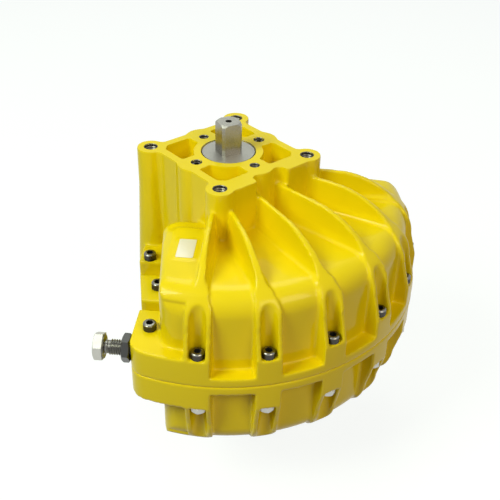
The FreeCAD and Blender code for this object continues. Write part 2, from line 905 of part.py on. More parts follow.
def main():
    os.makedirs("parts", exist_ok=True)
    save("upper_casing", [upper_casing()])
    save("lower_casing", [lower_casing()])
    save("casing_seal", [casing_seal()])
    save("upper_bush", [lifted(bush())])
    save("lower_bush", [lowered(bush())])
    save("upper_shaft_seal", [lifted(shaft_ring())])
    save("lower_shaft_seal", [lowered(shaft_ring())])
    save("upper_blank_screws", [lifted(s) for s in blank_screws(small_hole_places()[2:])])
    save("lower_blank_screws", [lowered(s) for s in blank_screws(lower_hole_places()[2:])])
    save("rim_screws", [lifted(s) for s in rim_screws()])
    save("rim_nuts", [lifted(s) for s in rim_nuts()])
    save("side_screws", [lifted(s) for s in side_screw_set()])
    save("side_nuts", [lifted(s) for s in side_nuts()])
    save("rear_screws", [lifted(s) for s in rear_screws()])
    save("rear_nuts", [lifted(s) for s in rear_nuts()])
    save("stop_screw_left", [lifted(stop_screw())])
    save("stop_screw_right", [lifted(mirror_x(stop_screw()))])
    save("locknut_left", [lifted(locknut())])
    save("locknut_right", [lifted(mirror_x(locknut()))])
    save("shaft", [at_rest(shaft())])
    save("vane", [at_rest(vane())])
    save("vane_key", [at_rest(key())])
    save("lip_seal_left", [at_rest(mirror_x(lip_seal()))])
    save("lip_seal_right", [at_rest(lip_seal())])
    save("expander_left", [at_rest(mirror_x(expander()))])
    save("expander_right", [at_rest(expander())])
    save("side_plate_left", [at_rest(mirror_x(side_plate()))])
    save("side_plate_right", [at_rest(side_plate())])
    save("vane_rivets", [at_rest(s) for s in vane_rivets()])


main()
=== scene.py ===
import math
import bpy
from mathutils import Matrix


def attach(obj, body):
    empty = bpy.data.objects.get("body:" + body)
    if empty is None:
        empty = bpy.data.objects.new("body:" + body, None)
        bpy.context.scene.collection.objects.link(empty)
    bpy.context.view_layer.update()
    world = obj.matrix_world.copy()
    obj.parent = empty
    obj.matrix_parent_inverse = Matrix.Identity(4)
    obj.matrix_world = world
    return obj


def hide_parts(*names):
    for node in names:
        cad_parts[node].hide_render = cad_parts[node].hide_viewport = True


bl_info = {
    "name": "Pneumatic Vane Actuator",
    "version": (1, 0, 0),
    "blender": (4, 5, 0),
    "location": "View3D > Sidebar > Actuator",
    "description": "Dresses the packed actuator: cast housings, fasteners, shaft and studio",
    "category": "Object",
}

import bpy
from mathutils import Matrix, Vector

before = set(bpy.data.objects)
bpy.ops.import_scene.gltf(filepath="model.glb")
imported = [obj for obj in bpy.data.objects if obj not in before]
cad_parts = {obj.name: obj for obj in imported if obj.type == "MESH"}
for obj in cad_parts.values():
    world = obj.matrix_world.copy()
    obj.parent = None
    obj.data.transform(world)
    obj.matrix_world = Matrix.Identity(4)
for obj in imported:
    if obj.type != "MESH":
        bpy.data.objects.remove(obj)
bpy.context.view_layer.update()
MM = 0.001
HAIR = 0.01 * MM


# Sizes and colours a user would change

def linear(colour):
    """Turns an sRGB hex colour into the linear values that shaders take."""
    parts = [int(colour[k:k + 2], 16) / 255 for k in (1, 3, 5)]
    return tuple(c / 12.92 if c <= 0.04045 else ((c + 0.055) / 1.055) ** 2.4 for c in parts) + (1.0,)


def length(name, description, millimetres):
    return bpy.props.FloatProperty(name=name, description=description, default=millimetres * MM,
                                   min=0.0, unit="LENGTH", precision=5)


def colour(name, description, value):
    return bpy.props.FloatVectorProperty(name=name, description=description, size=4, subtype="COLOR",
                                         default=linear(value), min=0.0, max=1.0)


class ActuatorCasting(bpy.types.PropertyGroup):
    paint: colour("Paint", "Colour of the stoved paint on both housings", "#EAD106")
    # The bare metal colour is darkened: painted shade for the insides of the drilled holes and bores
    bare_metal_and_shade: colour("Bare metal", "Colour of drilled and machined alloy", "#615E58")
    grain: length("Grain", "Size of the mesh that the cast surfaces are rebuilt with", 1.0)
    pad_stock: length("Pad stock", "Metal left on a mounting pad before it is faced", 0.9)
    joint_stock: length("Joint stock", "Metal left on the joint before it is faced; little leaves its "
                        "cast edge rounded", 0.35)
    softening: bpy.props.IntProperty(name="Softening", description="How far cast edges are rounded",
                                     default=7, min=0, max=30)
    facets: bpy.props.IntProperty(name="Facets", description="Most triangles in each cast housing",
                                  default=175000, min=20000, max=200000)


class ActuatorFasteners(bpy.types.PropertyGroup):
    head_radius: length("Head radius", "Radius of a casing screw's head", 5.0)
    head_height: length("Head height", "Height of a casing screw's head", 6.0)
    screw_radius: length("Screw radius", "Outer radius of a casing screw's thread", 3.0)
    screw_pitch: length("Screw pitch", "Distance between a casing screw's threads", 1.0)
    screw_length: length("Screw length", "From under a casing screw's head to its end", 52.0)
    knurl_depth: length("Knurl depth", "How deep the grip round a casing screw's head is rolled", 0.14)
    socket: length("Socket", "Width across the flats of the hexagon socket", 5.0)
    socket_depth: length("Socket depth", "Depth of the hexagon socket", 3.0)
    nut: length("Nut", "Width across the flats of a casing nut", 10.0)
    nut_height: length("Nut height", "Height of a casing nut", 5.0)
    plug_radius: length("Plug radius", "Outer radius of a blanking screw", 4.0)
    plug_length: length("Plug length", "Length of a blanking screw", 10.0)
    plug_sink: length("Plug sink", "How far a blanking screw sits below the pad", 1.5)
    plug_socket: length("Plug socket", "Width across the flats of a blanking screw's socket", 4.0)
    stop_flats: length("Stop flats", "Width across the flats of the stop screw and its locknut", 19.0)
    stop_head: length("Stop head", "Height of the stop screw's head with its washer face", 7.5)
    stop_radius: length("Stop radius", "Outer radius of the stop screw's thread", 5.9)
    stop_pitch: length("Stop pitch", "Distance between the stop screw's threads", 1.75)
    stop_thread: length("Stop thread", "Length of the stop screw's thread", 58.9)
    stop_tip: length("Stop tip", "Length of the plain tip that meets the vane", 6.0)
    locknut_height: length("Locknut height", "Height of the stop screw's locknut", 6.0)
    stainless: colour("Stainless", "Colour of the stainless screws", "#7D7B76")
    black: colour("Black oxide", "Colour of the blackened locknuts", "#1B1B1A")


class ActuatorStudio(bpy.types.PropertyGroup):
    backdrop: colour("Backdrop", "Colour of the floor and backdrop", "#FAFDFC")
    lens: bpy.props.FloatProperty(name="Lens", description="Focal length of the camera in millimetres",
                                  default=60.18, min=1.0)


# Working with objects

def deselect():
    if bpy.context.mode != "OBJECT":
        bpy.ops.object.mode_set(mode="OBJECT")
    bpy.ops.object.select_all(action="DESELECT")


def only(piece):
    deselect()
    piece.select_set(True)
    bpy.context.view_layer.objects.active = piece


def edit(piece, select="SELECT"):
    only(piece)
    bpy.ops.object.mode_set(mode="EDIT")
    bpy.ops.mesh.select_mode(type="FACE")
    bpy.ops.mesh.select_all(action=select)


def done():
    bpy.ops.object.mode_set(mode="OBJECT")


def apply_modifier(piece, kind, **settings):
    only(piece)
    modifier = piece.modifiers.new(kind, kind)
    for name, value in settings.items():
        setattr(modifier, name, value)
    bpy.ops.object.modifier_apply(modifier=modifier.name)


def pick_points(piece, test):
    """Selects the points whose place passes the test, in edit mode."""
    only(piece)
    bpy.ops.object.mode_set(mode="EDIT")
    bpy.ops.mesh.select_mode(type="VERT")
    bpy.ops.mesh.select_all(action="DESELECT")
    bpy.ops.object.mode_set(mode="OBJECT")
    for point in piece.data.vertices:
        point.select = test(point.co)
    bpy.ops.object.mode_set(mode="EDIT")


def paint_faces(piece, material, test):
    """Gives the material to the faces that pass the test."""
    if material.name not in [m.name for m in piece.data.materials if m]:
        piece.data.materials.append(material)
    index = [m.name for m in piece.data.materials].index(material.name)
    for face in piece.data.polygons:
        if test(face.center, face.normal):
            face.material_index = index


def copy_of(node, name):
    """A merged copy of a CAD node's mesh, as the start of a detailed piece."""
    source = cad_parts[node]
    piece = bpy.data.objects.new(name, source.data.copy())
    bpy.context.scene.collection.objects.link(piece)
    piece.data.materials.clear()
    edit(piece)
    bpy.ops.mesh.remove_doubles(threshold=HAIR)
    done()
    return piece


def duplicate(piece, name, matrix):
    """A copy with its own mesh, moved by the matrix."""
    twin = bpy.data.objects.new(name, piece.data.copy())
    bpy.context.scene.collection.objects.link(twin)
    twin.data.transform(matrix)
    if matrix.determinant() < 0:
        edit(twin)
        bpy.ops.mesh.flip_normals()
        done()
    return twin


def joined(pieces, name):
    deselect()
    for piece in pieces:
        piece.select_set(True)
    bpy.context.view_layer.objects.active = pieces[0]
    if len(pieces) > 1:
        bpy.ops.object.join()
    piece = bpy.context.view_layer.objects.active
    piece.name = name
    piece.data.name = name
    return piece


def smooth(piece, degrees=35):
    only(piece)
    bpy.ops.object.shade_smooth_by_angle(angle=math.radians(degrees))


def flat_faced(piece):
    """Keeps large faces flat to the light, so that only the softened edges turn."""
    apply_modifier(piece, "WEIGHTED_NORMAL", keep_sharp=True, weight=100)


def finish_piece(piece, body, nodes=(), materials=()):
    """Applies the piece's place, hangs it on its body and hides the CAD nodes that it stands for."""
    only(piece)
    bpy.ops.object.transform_apply(location=True, rotation=True, scale=True)
    for material in materials:
        piece.data.materials.append(material)
    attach(piece, body)
    if nodes:
        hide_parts(*nodes)
    return piece


def turned(name, outline, segments=64):
    """A closed turned shape about Z from (radius, height) points in millimetres."""
    mesh = bpy.data.meshes.new(name)
    points = [(r * MM, 0.0, z * MM) for r, z in outline]
    mesh.from_pydata(points, [(k, k + 1) for k in range(len(points) - 1)], [])
    piece = bpy.data.objects.new(name, mesh)
    bpy.context.scene.collection.objects.link(piece)
    only(piece)
    bpy.ops.object.mode_set(mode="EDIT")
    bpy.ops.mesh.select_mode(type="VERT")
    bpy.ops.mesh.select_all(action="SELECT")
    bpy.ops.mesh.spin(steps=segments, angle=2 * math.pi, center=(0, 0, 0), axis=(0, 0, 1))
    bpy.ops.mesh.select_all(action="SELECT")
    bpy.ops.mesh.remove_doubles(threshold=0.000002)
    bpy.ops.mesh.select_all(action="SELECT")
    bpy.ops.mesh.normals_make_consistent(inside=False)
    done()
    return piece


def at(x, y, z, turn=0.0):
    """Moves by millimetres after turning about Z by degrees."""
    return Matrix.Translation(Vector((x, y, z)) * MM) @ Matrix.Rotation(math.radians(turn), 4, "Z")


def facing(place, direction, turn=0.0):
    """Stands a shape's Z axis along a direction at a place in millimetres."""
    way = Vector(direction).normalized()
    spin = Matrix.Rotation(math.radians(turn), 4, "Z")
    stand = way.to_track_quat("Z", "Y").to_matrix().to_4x4()
    return Matrix.Translation(Vector(place) * MM) @ stand @ spin


def cut(piece, tools, operation="DIFFERENCE"):
    """Machines the piece with the tools, whose material lines what they cut."""
    tool = joined(tools, "tool")
    apply_modifier(piece, "BOOLEAN", operation=operation, object=tool, solver="MANIFOLD",
                   material_mode="TRANSFER")
    bpy.data.objects.remove(tool)


def removed(pieces):
    for piece in pieces:
        bpy.data.objects.remove(piece)


def hexagon(name, flats, height):
    """Hexagonal block standing on the origin, with a corner along X."""
    deselect()
    bpy.ops.mesh.primitive_cylinder_add(vertices=6, radius=flats / math.sqrt(3) * MM,
                                        depth=height * MM, location=(0, 0, height / 2 * MM),
                                        rotation=(0, 0, math.radians(30)))
    piece = bpy.context.object
    piece.name = name
    bpy.ops.object.transform_apply(location=True, rotation=True, scale=True)
    return piece


def helix(name, core, crest, pitch, turns):
    """A screw thread that climbs from the origin, round a core that fills it."""
    mesh = bpy.data.meshes.new(name)
    steps = [(core, 0.0), (crest, 0.38), (crest, 0.5), (core, 0.88), (core, 1.0)]
    points = [(r * MM, 0.0, share * pitch * MM) for r, share in steps]
    mesh.from_pydata(points, [(k, k + 1) for k in range(len(points) - 1)], [])
    piece = bpy.data.objects.new(name, mesh)
    bpy.context.scene.collection.objects.link(piece)
    apply_modifier(piece, "SCREW", axis="Z", angle=2 * math.pi, screw_offset=pitch * MM,
                   iterations=turns, steps=32, render_steps=32, use_merge_vertices=True,
                   merge_threshold=0.000001, use_normal_calculate=True)
    filling = turned("core", [(0, 0), (core + 0.02, 0), (core + 0.02, pitch * (turns + 1)),
                              (0, pitch * (turns + 1))], 32)
    return joined([piece, filling], name)


# Materials

def material(name):
    made = bpy.data.materials.new(name)
    made.use_nodes = True
    made.node_tree.nodes.clear()
    return made


def add_node(made, kind, inputs=None, **settings):
    """Adds one node to a material, with its settings and its input values or links."""
    node = made.node_tree.nodes.new(kind)
    for name, value in settings.items():
        setattr(node, name, value)
    for name, value in (inputs or {}).items():
        if isinstance(value, bpy.types.NodeSocket):
            made.node_tree.links.new(value, node.inputs[name])
        else:
            node.inputs[name].default_value = value
    return node


def surface(made, **inputs):
    """Ends a material in one shader, whose input names are written with underscores."""
    named = {name.replace("_", " "): value for name, value in inputs.items()}
    shader = add_node(made, "ShaderNodeBsdfPrincipled", named)
    add_node(made, "ShaderNodeOutputMaterial", {"Surface": shader.outputs[0]})
    return made


NOISE_LOW, NOISE_HIGH = 0.3, 0.7


def patches(size):
    """Scale of a noise whose patches are about that many millimetres across."""
    return 1 / (size * MM)


def shade(value, by):
    """The colour made lighter or darker by a factor."""
    return tuple(min(1.0, c * by) for c in value[:3]) + (1.0,)


def stoved_paint():
    """Stoved epoxy paint on die-cast alloy."""
    # An even, wet-looking skin: the eye gets long soft highlights, bent a little by the casting's
    # waves some 11 mm apart and by orange peel 2 mm across, with a hardly seen cloud 36 mm across.
    made = material("stoved_paint")
    base = tuple(bpy.context.scene.actuator_casting.paint)
    place = add_node(made, "ShaderNodeTexCoord").outputs["Object"]
    waves = add_node(made, "ShaderNodeTexNoise", {"Vector": place, "Scale": patches(11.11),
                                                  "Detail": 2.0})
    peel = add_node(made, "ShaderNodeTexNoise", {"Vector": place, "Scale": patches(1.923),
                                                 "Detail": 1.0})
    cloud = add_node(made, "ShaderNodeTexNoise", {"Vector": place, "Scale": patches(35.7),
                                                  "Detail": 3.0})
    spread = add_node(made, "ShaderNodeMapRange", {"Value": cloud.outputs["Fac"], "From Min": NOISE_LOW,
                                                   "From Max": NOISE_HIGH})
    tint = add_node(made, "ShaderNodeMix", {"Factor": spread.outputs["Result"], 6: shade(base, 0.985),
                                            7: shade(base, 1.015)}, data_type="RGBA").outputs[2]
    bump = add_node(made, "ShaderNodeBump", {"Height": waves.outputs["Fac"], "Strength": 0.12,
                                             "Distance": 0.6 * MM})
    fine = add_node(made, "ShaderNodeBump", {"Height": peel.outputs["Fac"], "Strength": 0.06,
                                             "Distance": 0.3 * MM, "Normal": bump.outputs["Normal"]})
    gloss = add_node(made, "ShaderNodeMapRange", {"Value": cloud.outputs["Fac"], "From Min": NOISE_LOW,
                                                  "From Max": NOISE_HIGH, "To Min": 0.28,
                                                  "To Max": 0.35})
    return surface(made, Base_Color=tint, Roughness=gloss.outputs["Result"], Specular_IOR_Level=0.08,
                   Coat_Weight=0.24, Coat_Roughness=0.05, Normal=fine.outputs["Normal"])


def metal(name, tone, rough, grain, stretch=(1.0, 1.0, 1.0)):
    """Bare metal with marks of a grain in millimetres, finer along the axes that are stretched."""
    # Real tool marks are 0.05 to 0.2 mm apart, too fine for the render to show, so the grain is
    # drawn several times as coarse. Handling leaves patches 6 mm across a little darker.
    made = material(name)
    place = add_node(made, "ShaderNodeTexCoord").outputs["Object"]
    drawn = add_node(made, "ShaderNodeMapping", {"Vector": place, "Scale": stretch})
    marks = add_node(made, "ShaderNodeTexNoise", {"Vector": drawn.outputs[0], "Scale": patches(grain),
                                                  "Detail": 4.0})
    patch = add_node(made, "ShaderNodeTexNoise", {"Vector": place, "Scale": patches(6.25), "Detail": 2.0})
    tint = add_node(made, "ShaderNodeMix", {"Factor": patch.outputs["Fac"], 6: shade(tone, 0.86),
                                            7: shade(tone, 1.08)}, data_type="RGBA").outputs[2]
    rub = add_node(made, "ShaderNodeMapRange", {"Value": marks.outputs["Fac"], "From Min": NOISE_LOW,
                                                "From Max": NOISE_HIGH, "To Min": rough * 0.8,
                                                "To Max": rough * 1.25})
    bump = add_node(made, "ShaderNodeBump", {"Height": marks.outputs["Fac"], "Strength": 0.35,
                                             "Distance": 0.05 * MM})
    return surface(made, Base_Color=tint, Metallic=1.0, Roughness=rub.outputs["Result"],
                   Normal=bump.outputs["Normal"])


def dull(name, tone, rough, grain, spread=0.15, sheen=0.5):
    """A non-metal with a grain in millimetres, such as rubber, plastic film or oxide skin."""
    # The real grain is 0.02 to 0.1 mm, too fine for the render to show, so it is drawn coarser.
    made = material(name)
    place = add_node(made, "ShaderNodeTexCoord").outputs["Object"]
    fine = add_node(made, "ShaderNodeTexNoise", {"Vector": place, "Scale": patches(grain), "Detail": 3.0})
    tint = add_node(made, "ShaderNodeMix", {"Factor": fine.outputs["Fac"], 6: shade(tone, 1 - spread),
                                            7: shade(tone, 1 + spread)}, data_type="RGBA").outputs[2]
    bump = add_node(made, "ShaderNodeBump", {"Height": fine.outputs["Fac"], "Strength": 0.2,
                                             "Distance": 0.1 * MM})
    return surface(made, Base_Color=tint, Roughness=rough, Specular_IOR_Level=sheen,
                   Normal=bump.outputs["Normal"])


def finish_named(name):
    """The finish of that name, made once."""
    if name in bpy.data.materials:
        return bpy.data.materials[name]
    scene = bpy.context.scene
    alloy = tuple(scene.actuator_casting.bare_metal_and_shade)
    stainless = tuple(scene.actuator_fasteners.stainless)
    blackened = tuple(scene.actuator_fasteners.black)
    makers = {
        "stoved_paint": stoved_paint,
        # Drilled aluminium with painted shade: a grey darkened to stand in for the shade inside the holes
        # and bores, with rings left by the drill that break up its shine
        "drilled_alloy_and_shade": lambda: metal("drilled_alloy_and_shade", alloy, 0.34, 1.11, (1.0, 1.0, 6.0)),
        # Cold-headed stainless steel: a warm grey shine, kept at its own tone on the rim and top of the
        # head
        "stainless_screw": lambda: metal("stainless_screw", stainless, 0.24, 0.667, (1.0, 1.0, 3.0)),
        # Rolled grip of a cap screw: painted shade, a much darker copy of the steel that stands in for
        # the shade in its grooves and on the side of the head
        "shaded_rolled_grip": lambda: metal("shaded_rolled_grip", linear("#4A4743"), 0.42, 0.667),
        # Bright zinc on steel: pale and satin, without sharp reflections
        "zinc_plate": lambda: metal("zinc_plate", linear("#BFBEB9"), 0.5, 0.833),
        # Inside of a hexagon socket: oily steel in shade, nearly black
        "socket_shadow": lambda: dull("socket_shadow", linear("#191817"), 0.6, 1.11, 0.3, 0.25),
        # Black oxide on steel: a thin oiled skin with a soft sheen on its corners
        "black_oxide": lambda: dull("black_oxide", blackened, 0.3, 0.833, 0.25, 0.8),
        # Ground alloy steel: a long soft shine, drawn round the shaft by the wheel
        "ground_shaft_steel": lambda: metal("ground_shaft_steel", linear("#96938D"), 0.27, 0.714,
                                            (1.0, 1.0, 9.0)),
        # Turned end faces of the shaft: paler and duller than its ground sides
        "turned_shaft_end": lambda: metal("turned_shaft_end", linear("#97958F"), 0.46, 1.43),
        # Sintered bronze soaked in oil: brown-gold, half dull
        "oiled_bronze": lambda: metal("oiled_bronze", linear("#B08A4E"), 0.35, 1.11),
        # Moulded nitrile rubber: soft black with almost no shine
        "seal_rubber": lambda: dull("seal_rubber", linear("#1C1C1D"), 0.55, 1.25),
        # Cast aluminium as it leaves the mould: light grey, grainy and dull
        "cast_vane_alloy": lambda: metal("cast_vane_alloy", linear("#B4B4B2"), 0.48, 2.0),
        # Cold-drawn key steel: grey with lines along the bar
        "bright_key_steel": lambda: metal("bright_key_steel", linear("#9C9A96"), 0.3, 0.909,
                                          (1.0, 1.0, 0.2)),
        # Cold-rolled steel sheet: bright, with long lines from the mill
        "rolled_sheet_steel": lambda: metal("rolled_sheet_steel", linear("#C4C4C2"), 0.28, 0.769,
                                            (1.0, 1.0, 0.15)),
        # Bare polyester label film: cream white, smooth and half dull
        "label_film": lambda: dull("label_film", linear("#EBE6DB"), 0.4, 3.33, 0.02),
    }
    return makers[name]()


# Cast housings

# Levels and places in millimetres, the same as in the part's source
PAD = 217.0
SPLIT = 108.5
BOLT = 125.0 / 2 / math.sqrt(2)
SMALL_HOLE = 32.0
CHAMBER, CHAMBER_RADIUS, CHAMBER_EDGE = 63.0, 141.0, 11.0
SIDE_GAP, SIDE_REACH = 13.0, 60.0
TAB_TOP, TAB_FOOT = 131.0, 86.0
PORT_X, PORT_Y, PORT_Z = 37.0, 57.0, 154.5
RIM_CIRCLE, RIM_STEP = 152.2, 18.9
SIDE_SCREWS = ((61.0, 32.8), (47.6, 72.8), (44.8, 123.9))
REAR_SCREWS = ((-21.0, 54.0), (21.0, 54.0))
STOP_SEAT, STOP_HEAD_AT, STOP_ALONG, STOP_Z = 57.2, 76.5, 134.5, 120.5
LABEL_OUT, LABEL_ALONG, LABEL_Z = 21.5, 91.4, 181.8

# Bores of the pad, from its face down: the shaft's mouth, the O-ring's groove, the bush
SHAFT_MOUTH, RING_GROOVE, BUSH_BORE = 21.6, 24.65, 24.56
RING_TOP, RING_FOOT, BUSH_TOP = -9.7, -13.4, -17.5
EDGE = 0.5

# How far a cutter stands over the face it cuts, and a drill's point beside its radius
OVER = 1.5
DRILL_POINT = 0.58


def at_side(out, along, side=-1):
    """Place beside the left (-1) or right (1) end position of the vane, as in the part's source."""
    reach = math.sqrt(0.5)
    return side * reach * (out + along), reach * (out - along)


def screw_places():
    """Place of every casing screw, with the angle that one corner of its nut points to."""
    places = []
    for k in range(6):
        angle = (k - 2.5) * RIM_STEP
        turn = math.radians(angle)
        places.append((RIM_CIRCLE * math.sin(turn), -RIM_CIRCLE * math.cos(turn), angle + 30))
    for side, turn in ((-1, 45), (1, 15)):
        places += [(*at_side(out, along, side), turn) for out, along in SIDE_SCREWS]
    return places + [(x, y, 0) for x, y in REAR_SCREWS]


def tapped_hole(name, thread, core, pitch, depth, mouth, seat=0.0):
    """A drill with thread grooves: what it cuts shows bare metal, darkened as painted shade, with turns
    of thread.
    """
    outline = [(0.0, -depth - core * DRILL_POINT), (core, -depth)]
    level = -depth + pitch
    while level < -pitch * 1.6:
        outline += [(core, level), (thread, level + pitch * 0.45), (core, level + pitch * 0.9)]
        level += pitch
    outline += [(core, -(mouth - core)), (mouth, 0.0)]
    if seat:
        outline.append((seat, 0.0))
    outline += [(max(mouth, seat), OVER), (0.0, OVER)]
    tool = turned(name, outline, 40)
    tool.data.materials.append(finish_named("drilled_alloy_and_shade"))
    return tool


def small_places(crosswise):
    """Places of two of a pad's small holes: along Y, or along X when crosswise."""
    return [(out, 0.0) if crosswise else (0.0, out) for out in (-SMALL_HOLE, SMALL_HOLE)]


def vane_room():
    """Clears the corners where the vane's seals come to rest, which soft cast edges would fill."""
    turns = [math.radians(90 * k / 8) for k in range(9)]
    corner = [(CHAMBER_RADIUS - CHAMBER_EDGE * (1 - math.cos(turn)),
               CHAMBER - CHAMBER_EDGE * (1 - math.sin(turn))) for turn in turns]
    drum = turned("drum", [(0, -1), (CHAMBER_RADIUS, -1)] + corner + [(0, CHAMBER)], 128)
    left = [at_side(SIDE_GAP, SIDE_GAP), at_side(SIDE_GAP, SIDE_REACH), at_side(0, SIDE_REACH)]
    outline = [(0.0, 0.0)] + left + [(-x, y) for x, y in reversed(left)]
    mesh = bpy.data.meshes.new("room")
    mesh.from_pydata([(x * MM, y * MM, -MM) for x, y in outline], [], [tuple(range(len(outline)))])
    room = bpy.data.objects.new("room", mesh)
    bpy.context.scene.collection.objects.link(room)
    edit(room)
    bpy.ops.mesh.extrude_region_move(TRANSFORM_OT_translate={"value": (0, 0, (CHAMBER + 1) * MM)})
    bpy.ops.mesh.select_all(action="SELECT")
    bpy.ops.mesh.normals_make_consistent(inside=False)
    done()
    cut(room, [drum], "INTERSECT")
    room.data.materials.clear()
    room.data.materials.append(finish_named("stoved_paint"))
    room.data.transform(at(0, 0, SPLIT))
    return room


def pad_tools(flip):
    """Every tool that works on a mounting pad, in its own place."""
    tools = []
    drill = tapped_hole("bolt_drill", thread=5.8, core=5.1, pitch=1.75, depth=26.0, mouth=5.6)
    small = tapped_hole("small_drill", thread=3.95, core=3.35, pitch=1.25, depth=20.0, mouth=4.0)
    for x in (-BOLT, BOLT):
        for y in (-BOLT, BOLT):
            tools.append(duplicate(drill, "tool", at(x, y, PAD)))
    for x, y in small_places(flip):
        tools.append(duplicate(small, "tool", at(x, y, PAD)))
    radius, deep = size_of("plug_radius") + 0.05, size_of("plug_length") * 2
    plug = turned("plug_seat", [(0, -deep), (radius, -deep), (radius, -EDGE), (radius + 0.45, 0),
                                (radius + 0.45, OVER), (0, OVER)], 40)
    plug.data.materials.append(finish_named("drilled_alloy_and_shade"))
    for x, y in small_places(not flip):
        tools.append(duplicate(plug, "tool", at(x, y, PAD)))
    foot = -CHAMBER - 3
    bore = turned("shaft_bore", [
        (0, foot), (BUSH_BORE, foot), (BUSH_BORE, BUSH_TOP), (SHAFT_MOUTH, BUSH_TOP),
        (SHAFT_MOUTH, RING_FOOT), (RING_GROOVE, RING_FOOT), (RING_GROOVE, RING_TOP),
        (SHAFT_MOUTH, RING_TOP), (SHAFT_MOUTH, -EDGE), (SHAFT_MOUTH + EDGE, 0),
        (SHAFT_MOUTH + EDGE, OVER), (0, OVER)], 96)
    bore.data.materials.append(finish_named("drilled_alloy_and_shade"))
    tools.append(duplicate(bore, "tool", at(0, 0, PAD)))
    removed((drill, small, plug, bore))
    return [lower(tool) for tool in tools] if flip else tools


def port_tools():
    """Tapped air ports in the rear of the upper housing, with a faced seat round each."""
    port = tapped_hole("port_drill", thread=6.55, core=5.9, pitch=1.337, depth=14.0, mouth=6.8,
                       seat=10.0)
    tools = [duplicate(port, "tool", facing((x, PORT_Y, PORT_Z), (0, 1, 0)))
             for x in (-PORT_X, PORT_X)]
    removed([port])
    return tools


def seat_tools(flip):
    """Cutters that face the tab round every casing screw, or round every nut below."""
    seat = turned("seat", [(0, 0.02), (6.0, 0.02), (6.2, 0.3), (6.2, 1.2), (0, 1.2)], 40)
    seat.data.materials.append(finish_named("stoved_paint"))
    tools = [duplicate(seat, "tool", at(x, y, TAB_TOP)) for x, y, turn in screw_places()]
    removed([seat])
    return [lower(tool) for tool in tools] if flip else tools


def lower(tool):
    """Moves a tool or piece from the upper housing to its mirrored place in the lower one."""
    mirror = Matrix.Translation((0, 0, PAD * MM)) @ Matrix.Scale(-1, 4, (0, 0, 1))
    twin = duplicate(tool, tool.name, mirror)
    bpy.data.objects.remove(tool)
    return twin


SLAB_WIDTH = 0.6
SLAB = 5.0


def slab(name, bottom, top):
    """A block wider than the housing, for facing a cast surface to its level."""
    bpy.ops.object.select_all(action="DESELECT")
    bpy.ops.mesh.primitive_cube_add(size=1, location=(0, 0, (bottom + top) / 2 * MM))
    piece = bpy.context.object
    piece.scale = (SLAB_WIDTH, SLAB_WIDTH, (top - bottom) * MM)
    only(piece)
    bpy.ops.object.transform_apply(location=True, rotation=True, scale=True)
    piece.name = name
    piece.data.materials.append(finish_named("stoved_paint"))
    return piece


def cast_housing(node, name, upper):
    """Rebuilds a CAD housing as a casting with soft edges, then machines its faces and holes."""
    group = bpy.context.scene.actuator_casting
    piece = copy_of(node, name)
    pad = PAD if upper else 0.0
    outward = 1 if upper else -1
    pick_points(piece, lambda co: abs(co.z - pad * MM) < HAIR)
    bpy.ops.transform.translate(value=(0, 0, outward * group.pad_stock))
    done()
    pick_points(piece, lambda co: abs(co.z - SPLIT * MM) < HAIR)
    bpy.ops.transform.translate(value=(0, 0, -outward * group.joint_stock))
    done()
    apply_modifier(piece, "REMESH", mode="VOXEL", voxel_size=group.grain)
    apply_modifier(piece, "SMOOTH", factor=0.5, iterations=group.softening)
    ratio = min(1.0, group.facets / (2 * len(piece.data.polygons)))
    apply_modifier(piece, "DECIMATE", ratio=ratio)
    piece.data.materials.clear()
    piece.data.materials.append(finish_named("stoved_paint"))
    cut(piece, [slab("pad_cut", *sorted((pad, pad + outward * SLAB)))])
    cut(piece, [slab("split_cut", *sorted((SPLIT, SPLIT - outward * SLAB)))])
    cut(piece, [vane_room() if upper else lower(vane_room())])
    cut(piece, pad_tools(not upper) + seat_tools(not upper) + (port_tools() if upper else []))
    smooth(piece, 32)
    return finish_piece(piece, "casing", [node])


class ACTUATOR_OT_upper_housing(bpy.types.Operator):
    """Upper cast housing with its machined pad and tapped holes"""
    bl_idname = "actuator.upper_housing"
    bl_label = "Upper Housing"

    def execute(self, context):
        cast_housing("upper_casing", "upper_housing", True)
        return {"FINISHED"}


class ACTUATOR_OT_lower_housing(bpy.types.Operator):
    """Lower cast housing with its machined pad and tapped holes"""
    bl_idname = "actuator.lower_housing"
    bl_label = "Lower Housing"

    def execute(self, context):
        cast_housing("lower_casing", "lower_housing", False)
        return {"FINISHED"}


# Fasteners

def size_of(name):
    """A fastener size in millimetres."""
    return getattr(bpy.context.scene.actuator_fasteners, name) / MM


def socket_tool(flats, depth, top):
    """Broach for a hexagon socket: six flats with the drill's cone left at the bottom."""
    tool = hexagon("broach", flats, depth + 2)
    tool.data.transform(Matrix.Translation((0, 0, (top - depth) * MM)))
    tool.data.materials.append(finish_named("socket_shadow"))
    return tool


